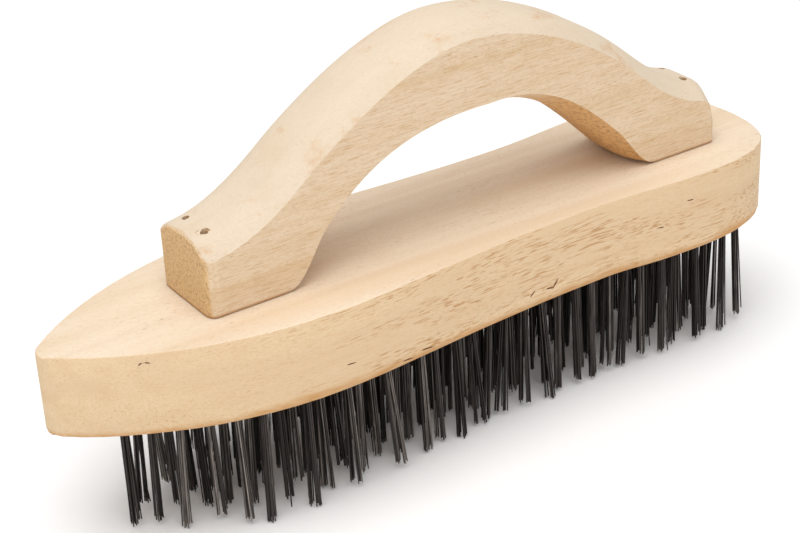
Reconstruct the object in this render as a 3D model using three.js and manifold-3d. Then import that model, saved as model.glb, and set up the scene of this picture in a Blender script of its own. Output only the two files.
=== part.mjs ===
// Hand wire brush: a saddle-shaped wooden block, an arched wooden handle nailed on top of it,
// and tufts of steel wire set in blind holes in the underside.
// Millimetres, +Z up. The nose of the block points to -X. z = 0 is where the wire tips end.
import * as THREE from "three";
import { mergeVertices } from "three/addons/utils/BufferGeometryUtils.js";
import Module from "manifold-3d";

const wasm = await Module();
wasm.setup();

// ---- driving dimensions -------------------------------------------------------------
const blockLength = 250;
const blockThickness = 27;
const blockHalfWidth = 31.4; // at the widest place, behind the nose
const waistHalfWidth = 26.3;
const rearHalfWidth = 29.2;
const noseBluntness = 4.2; // half width of the blunted nose tip
const bottomEdgeRound = 3.2;

const wireLength = 38; // what stands out of the block
const tuftRootRadius = 1.2;
const tuftTipRadius = 1.55;
const tuftSeatDepth = 12;
const tuftRows = 33; // cross rows, evenly spaced
const firstRowFromNose = 22.1;
const lastRowFromTail = 14.1;
const tuftEdgeMargin = 8; // outermost tufts to the side of the block
const widestLane = 4.6; // sideways step of the stagger, at most
const tuftSplay = 0.05; // how much wider the tips spread than the roots
const anchorWidth = 1.2;
const anchorHeight = 1.4;

const handleWidth = 28;
const handleFromNose = 46.5;
const handleFromTail = 19.5;
const handleCrownHeight = 63.6; // top of the arch above the block
const gripThickness = 28.2; // top of the arch to the hand gap
const noseFootHeight = 22;
const tailFootHeight = 20.5;
const shoulderDrop = 3.3; // rounding of the handle's long edges, seen from the side
const shoulderReach = 8; // the same rounding, seen along the handle

const nailHeadRadius = 1.0;
const nailShankRadius = 0.75;
const nailHeadHeight = 1.6;
const nailSink = 2.2; // nail heads are punched below the wood
const nailAboveTufts = 5; // wood left between a nail's tip and the tops of the tuft holes
const nailSpacing = 10.4;
const nailFromFootEnd = 4.4;

const fitGap = 0.3; // between pieces that touch

// ---- levels that follow from them ---------------------------------------------------
const blockBottom = wireLength;
const blockTop = blockBottom + blockThickness;
const seat = blockTop + fitGap;
const noseX = -blockLength / 2;
const handleLength = blockLength - handleFromNose - handleFromTail;
const nailIntoBlock = blockThickness - tuftSeatDepth - nailAboveTufts;

// ---- solids ------------------------------------------------------------------------
function solid(geometry) {
  const plain = geometry.clone();
  plain.deleteAttribute("normal");
  plain.deleteAttribute("uv");
  const merged = mergeVertices(plain, 1e-4);
  return new wasm.Manifold(
    new wasm.Mesh({
      numProp: 3,
      vertProperties: new Float32Array(merged.attributes.position.array),
      triVerts: new Uint32Array(merged.index.array),
    }),
  );
}

function geometryOf(manifold) {
  const mesh = manifold.getMesh();
  const geometry = new THREE.BufferGeometry();
  geometry.setAttribute("position", new THREE.BufferAttribute(mesh.vertProperties, 3));
  geometry.setIndex(new THREE.BufferAttribute(mesh.triVerts, 1));
  return geometry;
}

function box(sizeX, sizeY, sizeZ, x, y, z) {
  return solid(new THREE.BoxGeometry(sizeX, sizeY, sizeZ).translate(x, y, z));
}

// A round bar that may taper, from one point to another.
function bar(from, to, fromRadius, toRadius, sides) {
  const along = new THREE.Vector3().subVectors(to, from);
  const geometry = new THREE.CylinderGeometry(toRadius, fromRadius, along.length(), sides);
  const turn = new THREE.Quaternion().setFromUnitVectors(
    new THREE.Vector3(0, 1, 0),
    along.clone().normalize(),
  );
  geometry.applyQuaternion(turn);
  geometry.translate((from.x + to.x) / 2, (from.y + to.y) / 2, (from.z + to.z) / 2);
  return solid(geometry);
}

// ---- the block ---------------------------------------------------------------------
// One side of the block seen from above, from nose to tail: a pointed arch, a slight
// waist, and a rear swell that ends in a rounded tail.
function sideOutline() {
  const at = (along, out) => new THREE.Vector2(noseX + along * blockLength, out);
  const side = new THREE.Path();
  side.moveTo(noseX, 0);
  const curveTo = (a, b, c) => side.bezierCurveTo(a.x, a.y, b.x, b.y, c.x, c.y);
  const blunt = at(0.008, noseBluntness);
  side.quadraticCurveTo(noseX, noseBluntness / 2, blunt.x, blunt.y);
  curveTo(at(0.072, 0.59 * blockHalfWidth), at(0.18, blockHalfWidth), at(0.31, blockHalfWidth));
  curveTo(at(0.4, blockHalfWidth), at(0.528, waistHalfWidth), at(0.676, waistHalfWidth));
  curveTo(at(0.752, waistHalfWidth), at(0.792, rearHalfWidth), at(0.856, rearHalfWidth));
  curveTo(at(0.972, rearHalfWidth), at(1, 0.67 * rearHalfWidth), at(1, 0));
  return side.getPoints(12);
}

const side = sideOutline();

function halfWidthAt(x) {
  const next = side.findIndex((point) => point.x > x);
  const a = side[next - 1];
  const b = side[next];
  return a.y + ((b.y - a.y) * (x - a.x)) / (b.x - a.x);
}

function blockBody() {
  const otherSide = side.slice(1, -1).map((point) => new THREE.Vector2(point.x, -point.y));
  const shape = new THREE.Shape([...otherSide, ...side.slice().reverse()]);
  const geometry = new THREE.ExtrudeGeometry(shape, {
    depth: blockThickness,
    bevelThickness: bottomEdgeRound,
    bevelSize: bottomEdgeRound,
    bevelOffset: -bottomEdgeRound,
    bevelSegments: 3,
  });
  geometry.translate(0, 0, blockBottom + bottomEdgeRound);
  return solid(geometry).trimByPlane([0, 0, -1], -blockTop);
}

// ---- the tufts ---------------------------------------------------------------------
// The cross rows start with a single tuft at the nose and grow by one tuft a row, to six.
// From there rows of five and six alternate, staggered, and keep clear of the block's side.
function crossRows() {
  const pitch = (blockLength - firstRowFromNose - lastRowFromTail) / (tuftRows - 1);
  const rows = [];
  for (let i = 0; i < tuftRows; i++) {
    const x = noseX + firstRowFromNose + i * pitch;
    const lanes = Math.min(i, i % 2 ? 5 : 4);
    const reach = halfWidthAt(x) - tuftEdgeMargin;
    const lane = Math.min(widestLane, reach / Math.max(lanes, 1));
    const roots = [];
    for (let step = -lanes; step <= lanes; step += 2) {
      roots.push(step * lane);
    }
    rows.push({ x, roots });
  }
  return rows;
}

// A tuft's axis: it leans outward, more the farther it stands from the middle.
function tuftAxis(x, y, z) {
  const below = (blockBottom - z) / wireLength;
  return new THREE.Vector3(x, y * (1 + tuftSplay * below), z);
}

// The tufts of one cross row, from the foot level up to the ends of their holes, joined by
// the anchor that runs from hole to hole. grow widens them into the space they need.
function tuftRow(row, foot, footRadius, grow) {
  const seatTop = blockBottom + tuftSeatDepth;
  const tufts = row.roots.map((y) =>
    bar(
      tuftAxis(row.x, y, foot),
      tuftAxis(row.x, y, seatTop + grow),
      footRadius + grow,
      tuftRootRadius + grow,
      6,
    ),
  );
  const reach = tuftAxis(row.x, row.roots[row.roots.length - 1], seatTop).y;
  const anchor = box(
    anchorWidth + 2 * grow,
    2 * reach + anchorWidth + 2 * grow,
    anchorHeight + 2 * grow,
    row.x,
    0,
    seatTop - anchorHeight,
  );
  return wasm.Manifold.union([...tufts, anchor]);
}

function tuftRowBody(row) {
  return tuftRow(row, -1, tuftTipRadius, 0).trimByPlane([0, 0, 1], 0);
}

function tuftRowHoles(row) {
  return tuftRow(row, blockBottom - 1, tuftRootRadius, fitGap);
}

// ---- the handle --------------------------------------------------------------------
// The handle seen from the side: two feet and an arch, steeper at the nose foot.
function handleShape() {
  const at = (along, up) =>
    new THREE.Vector2(noseX + handleFromNose + along * handleLength, seat + up);
  const crown = handleCrownHeight;
  const gap = crown - gripThickness;
  const shape = new THREE.Shape();
  const moveTo = (p) => shape.moveTo(p.x, p.y);
  const lineTo = (p) => shape.lineTo(p.x, p.y);
  const bendTo = (a, b) => shape.quadraticCurveTo(a.x, a.y, b.x, b.y);
  const curveTo = (a, b, c) => shape.bezierCurveTo(a.x, a.y, b.x, b.y, c.x, c.y);
  const below = -8;
  moveTo(at(0, below));
  lineTo(at(0.13, below));
  // nose foot, then the hand gap
  bendTo(at(0.172, 0), at(0.184, 0.09 * gap));
  curveTo(at(0.264, 0.68 * gap), at(0.356, gap), at(0.519, gap));
  curveTo(at(0.644, gap), at(0.715, 0.565 * gap), at(0.813, 0.07 * gap));
  bendTo(at(0.84, -1.5), at(0.87, below));
  lineTo(at(1, below));
  // tail foot with its rounded top corner
  lineTo(at(1, tailFootHeight - 7));
  bendTo(at(1, tailFootHeight - 1), at(0.965, tailFootHeight));
  // back over the arch
  curveTo(at(0.91, tailFootHeight + 3), at(0.878, 0.456 * crown), at(0.834, 0.566 * crown));
  curveTo(at(0.747, 0.786 * crown), at(0.617, crown), at(0.486, crown));
  curveTo(at(0.378, crown), at(0.264, 0.786 * crown), at(0.185, 0.626 * crown));
  curveTo(at(0.117, 0.464 * crown), at(0.0625, noseFootHeight + 0.5), at(0, noseFootHeight));
  return shape;
}

function handleBody() {
  const geometry = new THREE.ExtrudeGeometry(handleShape(), {
    depth: handleWidth - 2 * shoulderReach,
    bevelThickness: shoulderReach,
    bevelSize: shoulderDrop,
    bevelOffset: -shoulderDrop,
    bevelSegments: 4,
    curveSegments: 12,
  });
  geometry.translate(0, 0, -(handleWidth - 2 * shoulderReach) / 2);
  geometry.rotateX(Math.PI / 2);
  return solid(geometry).trimByPlane([0, 0, 1], seat);
}

// ---- the nails ---------------------------------------------------------------------
function nailPlaces() {
  const noseFoot = noseX + handleFromNose + nailFromFootEnd;
  const tailFoot = noseX + handleFromNose + handleLength - nailFromFootEnd - 2;
  return [
    { name: "nail_nose_near", x: noseFoot, y: -nailSpacing / 2, foot: noseFootHeight },
    { name: "nail_nose_far", x: noseFoot, y: nailSpacing / 2, foot: noseFootHeight },
    { name: "nail_tail_near", x: tailFoot, y: -nailSpacing / 2, foot: tailFootHeight },
    { name: "nail_tail_far", x: tailFoot, y: nailSpacing / 2, foot: tailFootHeight },
  ];
}

function nailBody(place) {
  const top = seat + place.foot - nailSink;
  const tip = blockTop - nailIntoBlock;
  const profile = [
    new THREE.Vector2(0, tip),
    new THREE.Vector2(nailShankRadius, tip + 3 * nailShankRadius),
    new THREE.Vector2(nailShankRadius, top - nailHeadHeight),
    new THREE.Vector2(nailHeadRadius, top - nailHeadHeight / 2),
    new THREE.Vector2(nailHeadRadius, top),
    new THREE.Vector2(0, top),
  ];
  const geometry = new THREE.LatheGeometry(profile, 16);
  geometry.rotateX(Math.PI / 2);
  geometry.translate(place.x, place.y, 0);
  return solid(geometry);
}

function nailHole(place) {
  const up = (z) => new THREE.Vector3(place.x, place.y, z);
  const headSeat = seat + place.foot - nailSink - nailHeadHeight - fitGap;
  const shank = bar(
    up(blockTop - nailIntoBlock - fitGap),
    up(headSeat + 0.5),
    nailShankRadius + fitGap,
    nailShankRadius + fitGap,
    16,
  );
  const head = bar(
    up(headSeat),
    up(seat + place.foot + 10),
    nailHeadRadius + fitGap,
    nailHeadRadius + fitGap,
    16,
  );
  return shank.add(head);
}

// ---- materials ---------------------------------------------------------------------
function blockWood() {
  return new THREE.MeshStandardMaterial({ color: 0xe9cda4, roughness: 0.72, metalness: 0 });
}

function handleWood() {
  return new THREE.MeshStandardMaterial({ color: 0xdfbf92, roughness: 0.76, metalness: 0 });
}

function tuftWire() {
  return new THREE.MeshStandardMaterial({ color: 0x2a2624, roughness: 0.42, metalness: 0.9 });
}

function nailSteel() {
  return new THREE.MeshStandardMaterial({ color: 0x8a8680, roughness: 0.45, metalness: 1 });
}

// ---- assembly ----------------------------------------------------------------------
const brush = new THREE.Group();
brush.name = "wire_brush";

function place(name, manifold, material) {
  const mesh = new THREE.Mesh(geometryOf(manifold), material);
  mesh.name = name;
  brush.add(mesh);
}

const rows = crossRows();
const nails = nailPlaces();
const tuftHoles = rows.map(tuftRowHoles);
const nailHoles = wasm.Manifold.union(nails.map(nailHole));

place("block", blockBody().subtract(wasm.Manifold.union([...tuftHoles, nailHoles])), blockWood());
place("handle", handleBody().subtract(nailHoles), handleWood());
nails.forEach((nail) => place(nail.name, nailBody(nail), nailSteel()));
rows.forEach((row, i) => {
  const number = String(i + 1).padStart(2, "0");
  place(`tuft_row_${number}`, tuftRowBody(row), tuftWire());
});

export default brush;
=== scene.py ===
"""Hand wire brush: waisted wooden block, arched wooden handle, tufts of blackened steel wire.

The nose of the block points to -X, the wires stand on z = 0, and everything is in metres.
"""

import math
import random
from types import SimpleNamespace

import bpy
import numpy as np
from mathutils import Matrix, Vector, noise


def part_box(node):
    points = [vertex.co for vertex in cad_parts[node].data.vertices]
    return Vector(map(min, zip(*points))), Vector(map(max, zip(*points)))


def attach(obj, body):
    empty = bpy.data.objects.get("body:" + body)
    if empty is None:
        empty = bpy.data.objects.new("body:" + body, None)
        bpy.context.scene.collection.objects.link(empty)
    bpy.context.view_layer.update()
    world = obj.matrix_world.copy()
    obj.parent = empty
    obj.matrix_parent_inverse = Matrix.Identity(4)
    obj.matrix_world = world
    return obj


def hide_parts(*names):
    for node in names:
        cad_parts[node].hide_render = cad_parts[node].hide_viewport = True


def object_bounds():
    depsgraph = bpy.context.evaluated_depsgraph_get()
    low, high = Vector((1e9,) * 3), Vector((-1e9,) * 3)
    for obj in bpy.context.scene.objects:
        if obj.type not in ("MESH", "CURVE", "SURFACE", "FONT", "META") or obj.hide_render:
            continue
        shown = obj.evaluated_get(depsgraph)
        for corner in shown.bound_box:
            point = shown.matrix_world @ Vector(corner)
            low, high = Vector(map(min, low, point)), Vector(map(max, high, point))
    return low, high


MM = 0.001

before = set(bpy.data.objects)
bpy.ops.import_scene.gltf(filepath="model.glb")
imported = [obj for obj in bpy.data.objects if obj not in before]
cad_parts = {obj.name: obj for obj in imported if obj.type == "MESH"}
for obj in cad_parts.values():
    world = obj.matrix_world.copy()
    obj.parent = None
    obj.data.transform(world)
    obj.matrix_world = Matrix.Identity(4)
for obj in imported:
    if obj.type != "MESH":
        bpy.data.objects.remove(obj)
cad_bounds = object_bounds()
rng = random.Random(41)

block_low, block_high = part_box("block")
handle_low, handle_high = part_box("handle")
HALF_LENGTH = (block_high.x - block_low.x) / 2
TUFT_ROWS = sorted(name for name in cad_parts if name.startswith("tuft_row_"))

# ---- sizes that the CAD boxes don't give ---------------------------------------------
# block
BOTTOM_ROUND = 3.2 * MM  # rounding under the rim
BOTTOM_WOBBLE = 0.3  # how unevenly that was moulded, as a share of it
TOP_BREAK = 0.5 * MM  # sanded top rim
SIDE_WAVE = 0.12 * MM  # depth of the tool's waves in the sides
STEEPEST_RIM = 3.0  # slope past which the rounding is no longer widened
HOLE_RADIUS = 1.5 * MM
HOLE_DEPTH = 7 * MM
SPLINTER_DEPTH = 0.6 * MM

# handle
SHOULDER_DROP = 4.8 * MM  # how far the long upper edges are worked down
SHOULDER_REACH = 9.5 * MM  # how far in from the sides that starts
SHOULDER_CURVE = 1.9  # 1 for a flat chamfer, more for a rounder shoulder
UNDER_DROP = 2.4 * MM  # the same under the grip, which fades near the feet
UNDER_FADE = 7 * MM
END_ROUND = 2.2 * MM  # upright edges of the feet, along the handle
END_REACH = 3.6 * MM  # the same, across it
END_FADE = 9 * MM  # how far from the ends that rounding is spread
END_BREAK = 1.1 * MM  # upper edge of the end faces, downwards
END_BREAK_REACH = 1.6 * MM  # the same, along the handle
INNER_ROUND = 4.0 * MM  # the feet's edges in the hand gap
SANDING_WAVE = 0.14 * MM
NOSE_OVERHANG = 0.6 * MM  # how far the sawn end stands out toward the nose
NAIL_HOLE_RADIUS = 1.1 * MM

# tufts
TUFT_SPLAY = 0.05  # how much wider the tips spread than the roots
SAME_TUFT = 1.8 * MM  # corners of one tuft are no further apart than this
WIRE_RADIUS = 0.205 * MM
WIRES_PER_TUFT = 16
ROOT_RADIUS = 1.05 * MM  # of the bundle in its hole
ROOT_HEIGHT = 4.5 * MM  # how far up the hole the wires start
STRAY = 9.0  # how many times further a stray wire leans


# ---- modelling helpers -----------------------------------------------------------------
def nothing_selected():
    if bpy.context.object and bpy.context.object.mode != "OBJECT":
        bpy.ops.object.mode_set(mode="OBJECT")
    bpy.ops.object.select_all(action="DESELECT")


def only(*objects):
    nothing_selected()
    for obj in objects:
        obj.select_set(True)
    bpy.context.view_layer.objects.active = objects[0]


def settle(obj, name):
    """Puts the object's place into its mesh and names both."""
    only(obj)
    bpy.ops.object.transform_apply(location=True, rotation=True, scale=True)
    obj.name = name
    obj.data.name = name
    return obj


def slab(name, low, high):
    """A box from corner to corner."""
    nothing_selected()
    low, high = Vector(low), Vector(high)
    bpy.ops.mesh.primitive_cube_add(size=1, location=(low + high) / 2)
    obj = bpy.context.object
    obj.scale = high - low
    return settle(obj, name)


def cut_across(obj, axis, places):
    """Cuts the whole mesh by planes square to one axis, so that it can be shaped there."""
    only(obj)
    bpy.ops.object.mode_set(mode="EDIT")
    normal = [0, 0, 0]
    normal[axis] = 1
    for place in places:
        point = [0, 0, 0]
        point[axis] = place
        bpy.ops.mesh.select_all(action="SELECT")
        bpy.ops.mesh.bisect(plane_co=point, plane_no=normal)
    bpy.ops.object.mode_set(mode="OBJECT")


def move_points(obj, rule):
    for vertex in obj.data.vertices:
        vertex.co = rule(vertex.co)
    obj.data.update()


def clean(obj, merge=0.01 * MM):
    only(obj)
    bpy.ops.object.mode_set(mode="EDIT")
    bpy.ops.mesh.select_all(action="SELECT")
    bpy.ops.mesh.remove_doubles(threshold=merge)
    bpy.ops.mesh.normals_make_consistent(inside=False)
    bpy.ops.object.mode_set(mode="OBJECT")


def joined(objects, name):
    only(*objects)
    if len(objects) > 1:
        bpy.ops.object.join()
    return settle(bpy.context.object, name)


def carve(obj, cutter):
    """Takes the cutter's shape out of obj."""
    only(obj)
    modifier = obj.modifiers.new("carve", "BOOLEAN")
    modifier.operation = "DIFFERENCE"
    modifier.solver = "EXACT"
    modifier.object = cutter
    bpy.ops.object.modifier_apply(modifier=modifier.name)
    bpy.data.objects.remove(cutter, do_unlink=True)


def mark_torn_and_shaded(obj, lumps, amount):
    """Marks the faces whose corners all lie in the lumps, given as (middle, half sizes), for the
    dark brown of torn fibres and painted shade.
    """
    mesh = obj.data
    points = np.array([vertex.co for vertex in mesh.vertices])
    inside = np.zeros(len(points), bool)
    for middle, size in lumps:
        inside |= (((points - np.array(middle)) / np.array(size)) ** 2).sum(axis=1) < 1
    torn = mesh.attributes.new("torn", "FLOAT", "FACE")
    torn.data.foreach_set(
        "value", [amount * all(inside[i] for i in face.vertices) for face in mesh.polygons]
    )


def smooth(obj, angle):
    only(obj)
    bpy.ops.object.shade_smooth_by_angle(angle=math.radians(angle))


def stands_for(obj, slot, material, *nodes):
    obj.data.materials.clear()
    obj.data.materials.append(material)
    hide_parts(*nodes)
    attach(obj, "root")


# ---- materials -------------------------------------------------------------------------
def linear(code):
    """sRGB hex to linear colour."""
    parts = [int(code[i : i + 2], 16) / 255 for i in (1, 3, 5)]
    return tuple(c / 12.92 if c <= 0.04045 else ((c + 0.055) / 1.055) ** 2.4 for c in parts) + (1,)


def add(tree, kind, inputs=(), ramp=None, out=0, **settings):
    """Adds a node and gives back one of its outputs. inputs maps a socket's name or number to
    a value or to another node's output."""
    node = tree.nodes.new(kind)
    for name, value in settings.items():
        setattr(node, name, value)
    for key, value in dict(inputs).items():
        if isinstance(value, bpy.types.NodeSocket):
            tree.links.new(value, node.inputs[key])
        else:
            node.inputs[key].default_value = value
    if ramp:
        stops = node.color_ramp.elements
        while len(stops) < len(ramp):
            stops.new(0.5)
        for stop, (place, colour) in zip(stops, ramp):
            stop.position = place
            stop.color = colour
    return node.outputs[out] if node.outputs else None


def new_material(name):
    material = bpy.data.materials.new(name)
    material.use_nodes = True
    tree = material.node_tree
    tree.nodes.clear()
    shader = add(tree, "ShaderNodeBsdfPrincipled")
    add(tree, "ShaderNodeOutputMaterial", {"Surface": shader})
    return material, tree, shader.node.inputs


def streaks(tree, where, length, apart, detail=2.0, rough=0.5, tilt=0.02, shift=0.0):
    """Streaks along the wood: about this long and this far apart, in mm. shift moves them to
    another part of the pattern."""
    place = add(
        tree,
        "ShaderNodeMapping",
        {
            "Vector": where,
            "Location": (shift, shift * 0.7, shift * 1.3),
            "Rotation": (0, tilt, 0),
            "Scale": (1 / (length * MM), 1 / (apart * MM), 1 / (apart * MM)),
        },
    )
    return add(
        tree,
        "ShaderNodeTexNoise",
        {"Vector": place, "Scale": 1.0, "Detail": detail, "Roughness": rough},
    )


def stain(tree, under, over, pattern, low, high, amount, area=None, blend="MIX"):
    """Lays a colour over the wood where a pattern climbs from low to high, up to the amount,
    and only in the area if there is one."""
    share = add(
        tree,
        "ShaderNodeMapRange",
        {"Value": pattern, "From Min": low, "From Max": high, "To Max": amount},
        interpolation_type="SMOOTHSTEP",
    )
    if area is not None:
        share = add(tree, "ShaderNodeMath", {0: share, 1: area}, operation="MULTIPLY")
    return add(
        tree,
        "ShaderNodeMix",
        {"Factor": share, 6: under, 7: over},
        out=2,
        data_type="RGBA",
        blend_type=blend,
    )


def hardwood(name, pale, deep, sawn, pore, side_lines):
    """Pale, straight-grained, unfinished hardwood, machined and sanded: growth figure along
    the piece, fine fibres, strongest on the sides, and short open pores in patches."""
    material, tree, shader = new_material(name)
    where = add(tree, "ShaderNodeTexCoord", out="Object")
    spot = add(tree, "ShaderNodeSeparateXYZ", {0: where}).node.outputs
    normal = add(tree, "ShaderNodeNewGeometry", out="Normal")
    facing = add(tree, "ShaderNodeSeparateXYZ", {0: normal}).node.outputs
    endways = add(tree, "ShaderNodeMath", {0: facing[0]}, operation="ABSOLUTE")
    sideways = add(tree, "ShaderNodeMath", {0: facing[1]}, operation="ABSOLUTE")

    # growth figure: soft bands 7 mm wide that run nearly the whole length
    figure = streaks(tree, where, 260, 7, 3.0, 0.5, shift=3.1)
    colour = add(
        tree,
        "ShaderNodeValToRGB",
        {"Fac": figure},
        ramp=[(0.3, linear(deep)), (0.5, linear(pale)), (0.72, linear(deep))],
    )
    # blotches of warmer wood, 20 to 50 mm
    blotch = streaks(tree, where, 50, 22, shift=7.7)
    colour = stain(tree, colour, linear(deep), blotch, 0.5, 0.72, 0.45)
    # mottling of the cut cells, about 1 mm
    mottle = streaks(tree, where, 1.3, 0.6, 3.0, 0.6, shift=4.4)
    colour = stain(tree, colour, linear(sawn), mottle, 0.45, 0.7, 0.25)
    # fibres 7 mm long and 0.3 mm apart, coarser than the real ones so that they show
    fibre = streaks(tree, where, 7, 0.34, 3.0, 0.62)
    lines = add(
        tree,
        "ShaderNodeMapRange",
        {
            "Value": sideways,
            "From Min": 0.55,
            "From Max": 0.9,
            "To Min": side_lines * 0.3,
            "To Max": side_lines,
        },
    )
    colour = stain(tree, colour, linear(sawn), fibre, 0.5, 0.68, 1.0, lines)
    # open pores: dashes 2 mm long and 0.3 mm wide, in patches
    dash = streaks(tree, where, 2.2, 0.34, 1.0, 0.4, shift=1.9)
    patch = streaks(tree, where, 35, 12, 1.0, shift=5.3)
    in_patch = add(
        tree,
        "ShaderNodeMapRange",
        {"Value": patch, "From Min": 0.46, "From Max": 0.62},
        interpolation_type="SMOOTHSTEP",
    )
    colour = stain(tree, colour, linear(pore), dash, 0.64, 0.74, 0.45, in_patch)
    return SimpleNamespace(
        material=material,
        tree=tree,
        shader=shader,
        where=where,
        spot=spot,
        facing=facing,
        endways=endways,
        colour=colour,
        fibre=fibre,
    )


def finish_wood(wood, colour, relief, depth):
    """Broken fibres in chips and nail holes, darkened partly as painted shade in those recesses,
    then the dry, open surface of bare wood.
    """
    tree = wood.tree
    torn = add(tree, "ShaderNodeAttribute", out="Fac", attribute_name="torn")
    # partly painted shade: the dark brown in chips and nail holes stands for torn fibres and for
    # the shade inside these recesses
    colour = stain(tree, colour, linear("#8a5426"), torn, 0.0, 1.0, 0.8)
    rough = add(tree, "ShaderNodeMapRange", {"Value": relief, "To Min": 0.62, "To Max": 0.82})
    bump = add(tree, "ShaderNodeBump", {"Height": relief, "Strength": 0.55, "Distance": depth})
    wood.shader["IOR"].default_value = 1.47
    tree.links.new(colour, wood.shader["Base Color"])
    tree.links.new(rough, wood.shader["Roughness"])
    tree.links.new(bump, wood.shader["Normal"])
    return wood.material


def block_beech():
    """Beech board, planed on top and spindle-moulded round the rim: cream and nearly plain on
    top, opened in orange-brown streaks at the sides, darker orange on the lower rim."""
    wood = hardwood("planed_beech", "#e6d4bc", "#dfcab0", "#cfa678", "#9c6a3c", 0.36)
    tree, where = wood.tree, wood.where
    side = add(
        tree,
        "ShaderNodeMapRange",
        {"Value": wood.facing[2], "From Min": 0.85, "From Max": 0.5},
        interpolation_type="SMOOTHSTEP",
    )
    colour = stain(tree, wood.colour, linear("#f8edd9"), side, 0.0, 1.0, 1.0, blend="MULTIPLY")
    # soft bands of darker wood, 16 mm wide, along the top
    heart = streaks(tree, where, 300, 16, 1.0, shift=9.4)
    colour = stain(tree, colour, linear("#d6b894"), heart, 0.5, 0.66, 0.4)
    # streaks that the moulding opened: 7 mm long, in patches, none by the nose
    past_nose = add(
        tree,
        "ShaderNodeMapRange",
        {"Value": wood.spot[0], "From Min": -90 * MM, "From Max": -35 * MM},
    )
    patch = streaks(tree, where, 48, 8, 2.0, 0.6, tilt=0.03, shift=2.6)
    in_patch = add(
        tree,
        "ShaderNodeMapRange",
        {"Value": patch, "From Min": 0.42, "From Max": 0.56},
        interpolation_type="SMOOTHSTEP",
    )
    opened = add(tree, "ShaderNodeMath", {0: in_patch, 1: past_nose}, operation="MULTIPLY")
    opened = add(tree, "ShaderNodeMath", {0: opened, 1: side}, operation="MULTIPLY")
    streak = streaks(tree, where, 7, 0.4, 2.0, 0.5, tilt=0.03, shift=8.8)
    colour = stain(tree, colour, linear("#ad7434"), streak, 0.53, 0.64, 0.66, opened)
    # darker orange on the lower rim: about 3 mm high, streaky, with a wavy upper limit
    rim_band_wave = 6 * MM
    wave = streaks(tree, where, 22, 22, 2.0, shift=1.2)
    rise = add(tree, "ShaderNodeMath", {0: wave, 1: -rim_band_wave}, operation="MULTIPLY")
    height = add(tree, "ShaderNodeMath", {0: wood.spot[2], 1: rise}, operation="ADD")
    rim_band_streaks = streaks(tree, where, 18, 1.1, 2.0, 0.6, shift=6.1)
    streaky = add(
        tree,
        "ShaderNodeMapRange",
        {"Value": rim_band_streaks, "From Min": 0.3, "From Max": 0.65, "To Min": 0.45, "To Max": 1.0},
    )
    rim = block_low.z - rim_band_wave / 2
    colour = stain(
        tree, colour, linear("#c48c4a"), height, rim + 4.4 * MM, rim + 1.6 * MM, 0.9, streaky
    )
    grooves = add(tree, "ShaderNodeMath", {0: streak, 1: opened}, operation="MULTIPLY")
    relief = add(tree, "ShaderNodeMath", {0: wood.fibre, 1: grooves}, operation="SUBTRACT")
    return finish_wood(wood, colour, relief, 0.25 * MM)


def handle_beech():
    """Beech handle: band-sawn sides with fine lines along the grain, sanded paler on top,
    orange, speckled end grain, rough torn wood on the underside of the tail leg, and painted
    shade: darker orange under the grip and the tail leg and along the bottom of the feet."""
    wood = hardwood("sawn_beech", "#e0c9ac", "#d8bd9a", "#bf9360", "#96663a", 0.62)
    tree, where = wood.tree, wood.where
    # the sanded top: paler, with orange patches where the grain comes through
    on_top = add(
        tree,
        "ShaderNodeMapRange",
        {"Value": wood.facing[2], "From Min": 0.15, "From Max": 0.6},
        interpolation_type="SMOOTHSTEP",
    )
    colour = stain(tree, wood.colour, linear("#d6c8b4"), on_top, 0.0, 1.0, 0.62)
    patches = streaks(tree, where, 18, 15, 6.0, 0.7, shift=5.9)
    colour = stain(tree, colour, linear("#c99a6a"), patches, 0.54, 0.7, 0.6, on_top)
    # end grain: darker, with 0.8 mm specks
    speck = streaks(tree, where, 0.9, 0.8, 4.0, 0.7)
    ends = stain(tree, linear("#d8b17a"), linear("#8f6031"), speck, 0.46, 0.64, 0.62)
    colour = stain(tree, colour, ends, wood.endways, 0.55, 0.85, 0.85)
    # torn wood under the tail leg, its orange-brown partly painted shade of the shaded underside
    under = add(
        tree,
        "ShaderNodeMapRange",
        {"Value": wood.facing[2], "From Min": -0.15, "From Max": -0.5},
        interpolation_type="SMOOTHSTEP",
    )
    tail = add(
        tree,
        "ShaderNodeMapRange",
        {"Value": wood.spot[0], "From Min": 30 * MM, "From Max": 45 * MM},
    )
    tail_under = add(tree, "ShaderNodeMath", {0: under, 1: tail}, operation="MULTIPLY")
    tearing = streaks(tree, where, 1.6, 1.1, 3.0, 0.7, shift=2.2)
    ragged = stain(tree, linear("#d5a262"), linear("#9a6630"), tearing, 0.45, 0.65, 1.0)
    colour = stain(tree, colour, ragged, tail_under, 0.0, 1.0, 0.8)
    # painted shade: the whole underside of the handle is tinted darker orange
    colour = stain(tree, colour, linear("#c99a62"), under, 0.0, 1.0, 0.3)
    # painted shade: the lowest half millimetre of the feet is darkened where they meet the block
    foot = handle_low.z
    colour = stain(
        tree, colour, linear("#a8713a"), wood.spot[2], foot + 0.9 * MM, foot + 0.2 * MM, 0.7
    )
    coarse = add(tree, "ShaderNodeMath", {0: wood.endways, 1: tail_under}, operation="MAXIMUM")
    coarse = add(tree, "ShaderNodeMath", {0: coarse, 1: 3.0}, operation="POWER")
    pits = add(tree, "ShaderNodeMath", {0: speck, 1: coarse}, operation="MULTIPLY")
    relief = add(tree, "ShaderNodeMath", {0: wood.fibre, 1: pits}, operation="ADD")
    return finish_wood(wood, colour, relief, 0.3 * MM)


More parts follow.
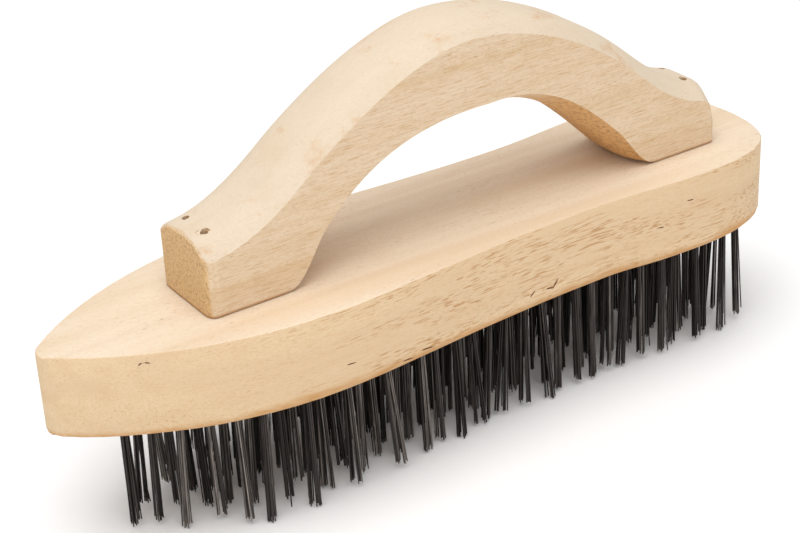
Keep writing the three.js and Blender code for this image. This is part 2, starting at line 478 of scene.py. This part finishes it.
def blackened_wire():
    """Oil-tempered carbon steel wire: almost black scale with a dull sheen and greyer wires
    where the scale has rubbed off."""
    material, tree, shader = new_material("oil_tempered_steel_wire")
    tone = add(tree, "ShaderNodeAttribute", out="Fac", attribute_name="tone")
    where = add(tree, "ShaderNodeTexCoord", out="Object")
    # patches of scale about 1 mm across and 8 mm long
    place = add(tree, "ShaderNodeMapping", {"Vector": where, "Scale": (900, 900, 120)})
    scale = add(tree, "ShaderNodeTexNoise", {"Vector": place, "Scale": 1.0, "Detail": 3.0})
    wear = add(tree, "ShaderNodeMapRange", {"Value": scale, "To Min": 0.4, "To Max": 1.5})
    worn = add(tree, "ShaderNodeMath", {0: tone, 1: wear}, operation="MULTIPLY")
    colour = add(
        tree,
        "ShaderNodeValToRGB",
        {"Fac": worn},
        ramp=[(0.0, linear("#2a2725")), (0.5, linear("#4f4946")), (1.0, linear("#9c948d"))],
    )
    rough = add(tree, "ShaderNodeMapRange", {"Value": scale, "To Min": 0.32, "To Max": 0.55})
    bump = add(
        tree, "ShaderNodeBump", {"Height": scale, "Strength": 0.3, "Distance": 0.05 * MM}
    )
    shader["Metallic"].default_value = 0.85
    tree.links.new(colour, shader["Base Color"])
    tree.links.new(rough, shader["Roughness"])
    tree.links.new(bump, shader["Normal"])
    return material


def nail_steel():
    """Bright drawn brad, dulled: grey steel with fine drawing lines."""
    material, tree, shader = new_material("drawn_brad_steel")
    where = add(tree, "ShaderNodeTexCoord", out="Object")
    # drawing lines 0.25 mm apart and 3 mm long
    place = add(tree, "ShaderNodeMapping", {"Vector": where, "Scale": (4000, 4000, 300)})
    lines = add(tree, "ShaderNodeTexNoise", {"Vector": place, "Scale": 1.0, "Detail": 2.0})
    colour = add(
        tree,
        "ShaderNodeValToRGB",
        {"Fac": lines},
        ramp=[(0.3, linear("#77716a")), (0.7, linear("#a49d94"))],
    )
    rough = add(tree, "ShaderNodeMapRange", {"Value": lines, "To Min": 0.3, "To Max": 0.5})
    shader["Metallic"].default_value = 1.0
    tree.links.new(colour, shader["Base Color"])
    tree.links.new(rough, shader["Roughness"])
    return material


# ---- the block -------------------------------------------------------------------------
def rim_outline():
    """(x, half width) of the block's side, nose to tail, from the CAD block's own rim."""
    level = block_low.z + BOTTOM_ROUND
    points = {}
    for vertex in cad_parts["block"].data.vertices:
        if abs(vertex.co.z - level) < 0.02 * MM and vertex.co.y > -1e-6:
            points[round(vertex.co.x, 6)] = vertex.co.y
    return sorted(points.items())


def tuft_places():
    """For each tuft row: its x, and the y of each tuft's foot at z = 0."""
    rows = {}
    for name in TUFT_ROWS:
        feet = sorted(v.co.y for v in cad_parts[name].data.vertices if v.co.z < 0.01 * MM)
        groups = [[feet[0]]]
        for y in feet[1:]:
            if y - groups[-1][-1] > SAME_TUFT:
                groups.append([])
            groups[-1].append(y)
        low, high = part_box(name)
        rows[name] = ((low.x + high.x) / 2, [(g[0] + g[-1]) / 2 for g in groups])
    return rows


def tuft_axis(x, foot_y, z):
    """The point at height z on the line of a tuft whose foot is at foot_y."""
    root_y = foot_y / (1 + TUFT_SPLAY)
    below = (block_low.z - z) / block_low.z
    return Vector((x, root_y * (1 + TUFT_SPLAY * below), z))


def rod(start, end, radius, sides):
    """A round rod from point to point."""
    along = end - start
    nothing_selected()
    bpy.ops.mesh.primitive_cylinder_add(
        vertices=sides, radius=radius, depth=along.length, location=(start + end) / 2
    )
    obj = bpy.context.object
    obj.rotation_mode = "QUATERNION"
    obj.rotation_quaternion = Vector((0, 0, 1)).rotation_difference(along)
    return obj


def chip(point, size, turn, seed):
    """A splinter-shaped cutter: a stretched, jagged lump."""
    nothing_selected()
    bpy.ops.mesh.primitive_ico_sphere_add(subdivisions=2, radius=1, location=point)
    obj = bpy.context.object
    obj.scale = size
    obj.rotation_euler = turn
    for vertex in obj.data.vertices:
        vertex.co *= 1 + 0.45 * noise.noise(vertex.co * 2.1 + Vector((seed, 0, 0)))
    return obj


def make_block(material):
    outline = rim_outline()
    stations = [x for x, _ in outline]
    widths = [y for _, y in outline]
    bottom, top = block_low.z, block_high.z
    obj = slab("block_board", (block_low.x, -1, bottom), (block_high.x, 1, top))
    cut_across(obj, 0, stations[1:-1])
    rounding = [math.radians(a) for a in (22.5, 45, 67.5)]
    low_levels = [bottom + BOTTOM_ROUND * (1 - math.cos(a)) for a in rounding]
    straight = top - bottom - BOTTOM_ROUND - TOP_BREAK
    wall = [bottom + BOTTOM_ROUND + share * straight for share in (0, 0.33, 0.67, 1)]
    cut_across(obj, 2, low_levels + wall + [top - 0.15 * MM])
    cut_across(obj, 1, [-0.5, 0, 0.5])

    def onto_outline(co):
        side = 1 if co.y > 0 else -1
        wobble = 1 + BOTTOM_WOBBLE * noise.noise(Vector((co.x * 45, side * 4.0, 0.0)))
        if co.z < bottom + BOTTOM_ROUND:
            up = (co.z - bottom) / BOTTOM_ROUND
            inset = BOTTOM_ROUND * (1 - math.sqrt(max(0.0, 1 - (1 - up) ** 2))) * wobble
        else:
            over = max(0.0, co.z - (top - TOP_BREAK)) / TOP_BREAK
            inset = TOP_BREAK * (1 - math.sqrt(max(0.0, 1 - over**2)))
        half = np.interp(co.x, stations, widths)
        ahead = np.interp(co.x + 0.5 * MM, stations, widths)
        behind = np.interp(co.x - 0.5 * MM, stations, widths)
        slope = abs(ahead - behind) / MM
        across = half - inset * math.sqrt(1 + min(slope, STEEPEST_RIM) ** 2)
        wave = noise.noise(Vector((co.x * 60, side * 9.0, co.z * 90)))
        unevenness = SIDE_WAVE * (wave - 0.6)
        across = max(0.0, across + unevenness * (abs(co.y) > 0.9))
        pull = 1 - 1.2 * inset / HALF_LENGTH
        return Vector((co.x * pull, co.y * across, co.z))

    move_points(obj, onto_outline)
    clean(obj)

    cutters = []
    for x, feet in tuft_places().values():
        for foot in feet:
            start = tuft_axis(x, foot, bottom - 2 * MM)
            end = tuft_axis(x, foot, bottom + HOLE_DEPTH)
            cutters.append(rod(start, end, HOLE_RADIUS, 12))
    carve(obj, joined(cutters, "tuft_holes"))
    # splinters broken out of the near side, each by its place, its height above the underside
    # and its half sizes in mm, its lean, and the number that gives it its own jagged edge
    lumps = []
    for x, up, length, height, lean, seed in (
        (30.5, 6.2, 2.3, 0.35, -0.9, 1),
        (28.6, 5.5, 1.8, 0.3, 0.15, 2),
        (21.6, 5.9, 1.3, 0.3, -0.7, 3),
        (-18.5, 3.4, 3.0, 0.3, 0.1, 4),
        (-26.0, 2.6, 2.2, 0.3, 0.1, 5),
        (-45.6, 9.1, 1.7, 0.22, 0.1, 8),
        (70.7, 12.8, 1.6, 0.22, 0.1, 9),
        (81.8, 19.2, 1.4, 0.22, 0.1, 10),
        (-103.3, 24.0, 0.7, 0.22, -0.8, 6),
        (-101.6, 24.3, 0.9, 0.22, 0.2, 7),
    ):
        y = -np.interp(x * MM, stations, widths)
        if up * MM < BOTTOM_ROUND:
            y += 0.35 * MM
        point = (x * MM, y, bottom + up * MM)
        size = (length * MM, SPLINTER_DEPTH, height * MM)
        splinter = chip(point, size, (0, lean, 0.05), seed)
        carve(obj, settle(splinter, "splinter"))
        for step in (-0.6, -0.2, 0.2, 0.6):
            along = Vector((math.cos(lean), 0, -math.sin(lean))) * step * length * MM
            lumps.append((Vector(point) + along, (0.75 * MM, 0.95 * MM, 0.75 * MM)))
    clean(obj, 0.002 * MM)
    # the splinters' broken faces get the full dark brown: torn fibres, and painted shade in the
    # shallow chips
    mark_torn_and_shaded(obj, lumps, 1.0)
    smooth(obj, 38)
    stands_for(obj, "block_wood", material, "block")


# ---- the handle ------------------------------------------------------------------------
def handle_profile(count):
    """Stations along the handle with the heights of its top and underside, read off the CAD
    handle's middle and evened out."""
    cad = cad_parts["handle"]
    start, end = handle_low.x, handle_high.x
    xs = [start + (end - start) * i / count for i in range(count + 1)]
    tops, unders = [], []
    for x in xs:
        inside = min(max(x, start + 0.05 * MM), end - 0.05 * MM)
        below = Vector((inside, 0, handle_low.z - 1 * MM))
        _, top, _, _ = cad.ray_cast(Vector((inside, 0, 1)), Vector((0, 0, -1)))
        _, under, _, _ = cad.ray_cast(below, Vector((0, 0, 1)))
        tops.append(top.z)
        unders.append(under.z)
    even = tops[:]
    for _ in range(3):
        middle = [(a + 2 * b + c) / 4 for a, b, c in zip(even, even[1:], even[2:])]
        even = [even[0]] + middle + [even[-1]]
    # the last stretch, over the tail foot, keeps its corner
    keep = int(0.955 * count)
    tops = even[:keep] + tops[keep:]
    return xs, tops, unders


def make_handle(material):
    xs, tops, unders = handle_profile(92)
    xs[0] -= NOSE_OVERHANG
    start, end = xs[0], xs[-1]
    seat = handle_low.z
    half = (handle_high.y - handle_low.y) / 2
    lows = [max(z, seat) for z in unders]
    for _ in range(2):
        even = [(a + 2 * b + c) / 4 for a, b, c in zip(lows, lows[1:], lows[2:])]
        lows = [lows[0]] + even + [lows[-1]]
    lows = [seat if z < seat + 0.05 * MM else z for z in lows]
    obj = slab("handle_arch", (start, -1, 0), (end, 1, 1))
    near_start = [start + 0.4 * MM, start + 1.0 * MM]
    near_end = [end - 1.0 * MM, end - 0.4 * MM]
    cut_across(obj, 0, near_start + xs[1:-1] + near_end)
    flat = 1 - SHOULDER_REACH / half
    steps = [flat + (1 - flat) * u for u in (0, 0.25, 0.45, 0.62, 0.76, 0.88, 0.96)]
    cut_across(obj, 1, [-y for y in reversed(steps)] + [0] + steps)

    def onto_profile(co):
        toward_side = max(0.0, (abs(co.y) - flat) / (1 - flat))
        fall = toward_side**SHOULDER_CURVE
        to_corner = max(0.0, 1 - (1 - abs(co.y)) * half / END_REACH)
        corner = END_ROUND * (1 - math.sqrt(1 - min(1.0, to_corner) ** 2))
        from_start = max(0.0, 1 - (co.x - start) / END_FADE)
        from_end = max(0.0, 1 - (end - co.x) / END_FADE)
        x = co.x + corner * (from_start - from_end)
        top = np.interp(x, xs, tops)
        low = np.interp(x, xs, lows)
        if co.z < 0.5:
            lift = min(1.0, (low - seat) / UNDER_FADE)
            shorter = INNER_ROUND * fall
            low = max(np.interp(x - shorter, xs, lows), np.interp(x + shorter, xs, lows))
            return Vector((x, co.y * half, low + UNDER_DROP * fall * lift))
        slope = (np.interp(x + MM, xs, tops) - np.interp(x - MM, xs, tops)) / (2 * MM)
        edge = max(0.0, 1 - min(co.x - start, end - co.x) / END_BREAK_REACH)
        drop = SHOULDER_DROP * fall * math.sqrt(1 + slope**2) + END_BREAK * edge**2
        uneven = SANDING_WAVE * (noise.noise(Vector((x * 55, co.y * 1.3, 3.0))) - 0.5)
        return Vector((x, co.y * half, top - drop + uneven))

    move_points(obj, onto_profile)
    clean(obj)
    lumps = []
    # each nail hole is torn open by the punch, some more than others
    for name, funnel in (
        ("nail_nose_near", 1.0),
        ("nail_nose_far", 0.55),
        ("nail_tail_near", 0.9),
        ("nail_tail_far", 0.6),
    ):
        low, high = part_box(name)
        x, y = (low.x + high.x) / 2, (low.y + high.y) / 2
        _, surface, _, _ = obj.ray_cast(Vector((x, y, 1)), Vector((0, 0, -1)))
        floor = Vector((x, y, high.z - 0.6 * MM))
        mouth = Vector((x, y, surface.z + 3 * MM))
        carve(obj, settle(rod(floor, mouth, NAIL_HOLE_RADIUS, 20), "nail_hole"))
        torn = chip(
            (x - 0.5 * MM * funnel, y - 0.2 * MM, surface.z + 0.15 * MM),
            (2.2 * MM * funnel, 1.7 * MM * funnel, 0.9 * MM * funnel),
            (0, 0, rng.uniform(-0.4, 0.4)),
            rng.uniform(0, 9),
        )
        carve(obj, settle(torn, "torn_funnel"))
        lumps.append(((x, y, surface.z - 1 * MM), (1.7 * MM, 1.7 * MM, 3.4 * MM)))
    clean(obj, 0.002 * MM)
    # the hole walls get a lighter share of that brown: torn fibres, and painted shade in the holes
    mark_torn_and_shaded(obj, lumps, 0.35)
    smooth(obj, 30)
    stands_for(obj, "handle_wood", material, "handle")


# ---- the tufts -------------------------------------------------------------------------
def wire_pattern():
    """One straight wire, modelled once: unit radius, from z = 0 to z = 1."""
    nothing_selected()
    bpy.ops.mesh.primitive_cylinder_add(vertices=5, radius=1, depth=1, location=(0, 0, 0.5))
    obj = settle(bpy.context.object, "wire_pattern")
    cut_across(obj, 2, [0.2, 0.45, 0.7, 0.88])
    only(obj)
    bpy.ops.object.shade_smooth_by_angle(angle=math.radians(50))
    return obj


def packed_roots(count, radius):
    """Where the wires sit in a hole: one in the middle, rings around it."""
    spots = [(0.0, 0.0)]
    for ring, (share, distance) in enumerate(((5, 0.45), (count - 6, 0.9))):
        for i in range(share):
            turn = 2 * math.pi * (i + 0.4 * ring) / share + rng.uniform(-0.15, 0.15)
            reach = radius * distance * rng.uniform(0.92, 1.05)
            spots.append((reach * math.cos(turn), reach * math.sin(turn)))
    return spots


def make_tuft_row(name, x, feet, pattern, material):
    shape = np.array([v.co for v in pattern.data.vertices])
    along = shape[:, 2]
    start_z = block_low.z + ROOT_HEIGHT
    reach_y = cad_bounds[1].y - 0.35 * MM
    wires = []
    for foot in feet:
        # the whole tuft leans a little, and its two halves stand apart
        lean = Vector((rng.gauss(0, 1.1), rng.gauss(0, 0.8), 0)) * MM
        split = Vector((rng.uniform(-1, 1), rng.uniform(-1, 1), 0)).normalized()
        split *= rng.uniform(0.25, 0.9) * MM
        short = min(abs(rng.gauss(0, 1.2)), 3.0) * MM
        tuft_tone = rng.uniform(0.0, 0.5)
        for root_x, root_y in packed_roots(WIRES_PER_TUFT, ROOT_RADIUS):
            half = 1 if root_x * split.x + root_y * split.y > 0 else -1
            ragged = min(abs(rng.gauss(0, 0.7)), 2.2) * MM
            if rng.random() < 0.04:
                ragged += rng.uniform(2, 6) * MM
            stray = STRAY if rng.random() < 0.02 else 1.0
            end_z = 0.1 * MM + short + ragged
            root = tuft_axis(x, foot, start_z) + Vector((root_x, root_y, 0))
            tip = tuft_axis(x, foot, end_z) + lean + half * split
            tip += Vector((root_x, root_y, 0)) * 1.05
            tip += Vector((rng.gauss(0, 0.16), rng.gauss(0, 0.16), 0)) * MM * stray
            tip.y = max(-reach_y, min(reach_y, tip.y))
            bow = Vector((rng.gauss(0, 0.07), rng.gauss(0, 0.07), 0)) * MM * stray
            wires.append(wire(pattern, shape, along, root, tip, bow, tuft_tone))
    obj = joined(wires, "wire_" + name)
    stands_for(obj, "tuft_wire", material, name)


def wire(pattern, shape, along, root, tip, bow, tuft_tone):
    """A copy of the pattern, bent from root to tip."""
    mesh = pattern.data.copy()
    line = np.outer(1 - along, root) + np.outer(along, tip)
    line += np.outer(np.sin(math.pi * along), bow)
    line[:, :2] += shape[:, :2] * WIRE_RADIUS
    mesh.vertices.foreach_set("co", line.ravel())
    mesh.flip_normals()
    tone = mesh.attributes.new("tone", "FLOAT", "POINT")
    value = min(1.0, max(0.0, tuft_tone + rng.gauss(0.15, 0.16)))
    tone.data.foreach_set("value", [value] * len(along))
    obj = bpy.data.objects.new("wire", mesh)
    bpy.context.collection.objects.link(obj)
    return obj


# ---- studio ----------------------------------------------------------------------------
def make_camera():
    """Long lens, low front quarter view from the nose."""
    azimuth, elevation, roll = (math.radians(a) for a in (-32.86, 28.20, -2.87))
    distance = 0.55279
    target = Vector((-0.020819, -0.020379, block_high.z))
    back = Vector(
        (
            math.sin(azimuth) * math.cos(elevation),
            -math.cos(azimuth) * math.cos(elevation),
            math.sin(elevation),
        )
    )
    right = (-back).cross(Vector((0, 0, 1))).normalized()
    up = right.cross(-back)
    turned_right = right * math.cos(roll) + up * math.sin(roll)
    turned_up = up * math.cos(roll) - right * math.sin(roll)
    data = bpy.data.cameras.new("camera")
    data.sensor_width = 36
    data.lens = 87.05
    data.clip_start = 0.01
    camera = bpy.data.objects.new("camera", data)
    camera.matrix_world = Matrix.Translation(target + back * distance) @ Matrix(
        (turned_right, turned_up, back)
    ).transposed().to_4x4()
    bpy.context.collection.objects.link(camera)
    bpy.context.scene.camera = camera


def soft_light(name, place, aim, size, power):
    data = bpy.data.lights.new(name, "AREA")
    data.shape = "DISK"
    data.size = size
    data.energy = power
    light = bpy.data.objects.new(name, data)
    light.location = place
    light.rotation_euler = (Vector(aim) - Vector(place)).to_track_quat("-Z", "Y").to_euler()
    bpy.context.collection.objects.link(light)


def make_studio():
    nothing_selected()
    bpy.ops.mesh.primitive_plane_add(size=8, location=(0, 0, 0))
    floor = settle(bpy.context.object, "floor")
    material, _, shader = new_material("white_paper_sweep")
    shader["Base Color"].default_value = linear("#fafafa")
    shader["Roughness"].default_value = 0.9
    floor.data.materials.append(material)
    soft_light("overhead_softbox", (-0.25, -0.2, 1.3), (0, 0, 0.05), 1.1, 10.5)
    soft_light("front_fill", (-0.5, -1.4, 0.7), (0, 0, 0.05), 1.2, 3.0)
    world = bpy.data.worlds.new("studio")
    bpy.context.scene.world = world
    world.use_nodes = True
    background = world.node_tree.nodes["Background"]
    background.inputs["Color"].default_value = (1, 1, 1, 1)
    background.inputs["Strength"].default_value = 0.7
    bpy.context.scene.view_settings.view_transform = "Standard"


# ---- the brush -------------------------------------------------------------------------
make_block(block_beech())
make_handle(handle_beech())
wire_material = blackened_wire()
one_wire = wire_pattern()
for row_name, (row_x, row_feet) in tuft_places().items():
    make_tuft_row(row_name, row_x, row_feet, one_wire, wire_material)
bpy.data.objects.remove(one_wire, do_unlink=True)
brad = nail_steel()
for name in ("nail_nose_near", "nail_nose_far", "nail_tail_near", "nail_tail_far"):
    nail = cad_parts[name]
    nail.data.materials.clear()
    nail.data.materials.append(brad)
make_camera()
make_studio()
